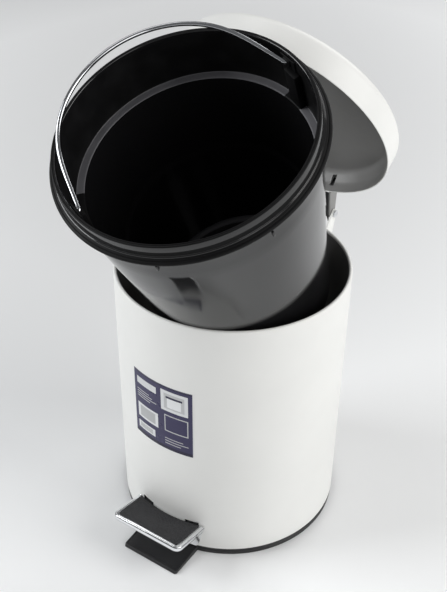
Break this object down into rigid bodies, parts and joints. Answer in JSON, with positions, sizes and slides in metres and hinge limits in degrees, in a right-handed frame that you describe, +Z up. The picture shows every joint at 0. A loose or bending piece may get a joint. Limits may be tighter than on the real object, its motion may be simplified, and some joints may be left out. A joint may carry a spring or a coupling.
{
  "type": "pedal bin",
  "caption": "Round white pedal bin with its lid leaning open and its black inner bucket with a wire bail lifted half out of the steel body.",
  "frame": {"origin": "the point where the axis of the round body meets the floor, the middle of its base ring", "axes": "+Z up, -Y towards the pedal, +X to the right of someone who stands at the pedal and faces the bin"},
  "size_m": [0.2395, 0.3419, 0.5118],
  "materials": {
    "body_shell": "white satin powder coat",
    "base_pan": "black moulded plastic",
    "foot_plate": "black moulded plastic",
    "rubber_feet": "black rubber",
    "pivot_bracket": "zinc plated steel",
    "bracket_screws": "zinc plated steel",
    "pivot_pin": "bright steel",
    "rod_guides": "black plastic",
    "hinge_bracket": "white satin powder coat",
    "shell_rivets": "plain rivets",
    "hinge_pin": "bright steel",
    "label": "printed sticker",
    "pedal_lever": "bright steel strip",
    "pedal_plate": "chrome plated steel",
    "pedal_pad": "black ribbed rubber",
    "push_rod": "steel wire",
    "rod_cap": "black plastic",
    "rod_foot": "black plastic",
    "lid_shell": "white satin powder coat",
    "lid_liner": "satin grey",
    "lid_arm": "satin grey",
    "lid_lever": "black plastic",
    "lid_rivets": "plain rivets",
    "bucket": "black glossy plastic",
    "bail": "chrome plated wire"
  },
  "bodies": {
    "can": {"body_shell": "body_shell", "base_pan": "base_pan", "foot_plate": "foot_plate", "rubber_feet": "rubber_feet", "pivot_bracket": "pivot_bracket", "bracket_screws": "bracket_screws", "pivot_pin": "pivot_pin", "rod_guides": "rod_guides", "hinge_bracket": "hinge_bracket", "shell_rivets": "shell_rivets", "hinge_pin": "hinge_pin", "label": "label"},
    "pedal": {"pedal_lever": "pedal_lever", "pedal_plate": "pedal_plate", "pedal_pad": "pedal_pad"},
    "rod": {"push_rod": "push_rod", "rod_cap": "rod_cap", "rod_foot": "rod_foot"},
    "lid": {"lid_shell": "lid_shell", "lid_liner": "lid_liner", "lid_arm": "lid_arm", "lid_lever": "lid_lever", "lid_rivets": "lid_rivets"},
    "bucket": {"bucket": "bucket"},
    "bail": {"bail": "bail"}
  },
  "joints": [
    {"name": "pedal_press", "type": "hinge", "parent": "can", "child": "pedal", "pos_m": [0, -0.016, 0.016], "axis": [1, 0, 0], "range_deg": [0, 12]},
    {"name": "rod_lift", "type": "slide", "parent": "can", "child": "rod", "axis": [0, 0, 1], "range_m": [0, 0.0259]},
    {"name": "lid_hinge", "type": "hinge", "parent": "can", "child": "lid", "pos_m": [0, 0.1382, 0.2772], "axis": [-1, 0, 0], "range_deg": [0, 32.5]},
    {"name": "bucket_lift", "type": "slide", "parent": "can", "child": "bucket", "axis": [0.0346, -0.4604, 0.887], "range_m": [0, 0.2]},
    {"name": "bail_swing", "type": "hinge", "parent": "bucket", "child": "bail", "pos_m": [0.01597, -0.09509, 0.45033], "axis": [0.3935, 0.8221, 0.4114], "range_deg": [-16.3, 163.7]}
  ],
  "couplings": [
    {"joint": "rod_lift", "follows": "pedal_press", "m_per_rad": 0.12319},
    {"joint": "lid_hinge", "follows": "pedal_press", "ratio": 2.69}
  ]
}
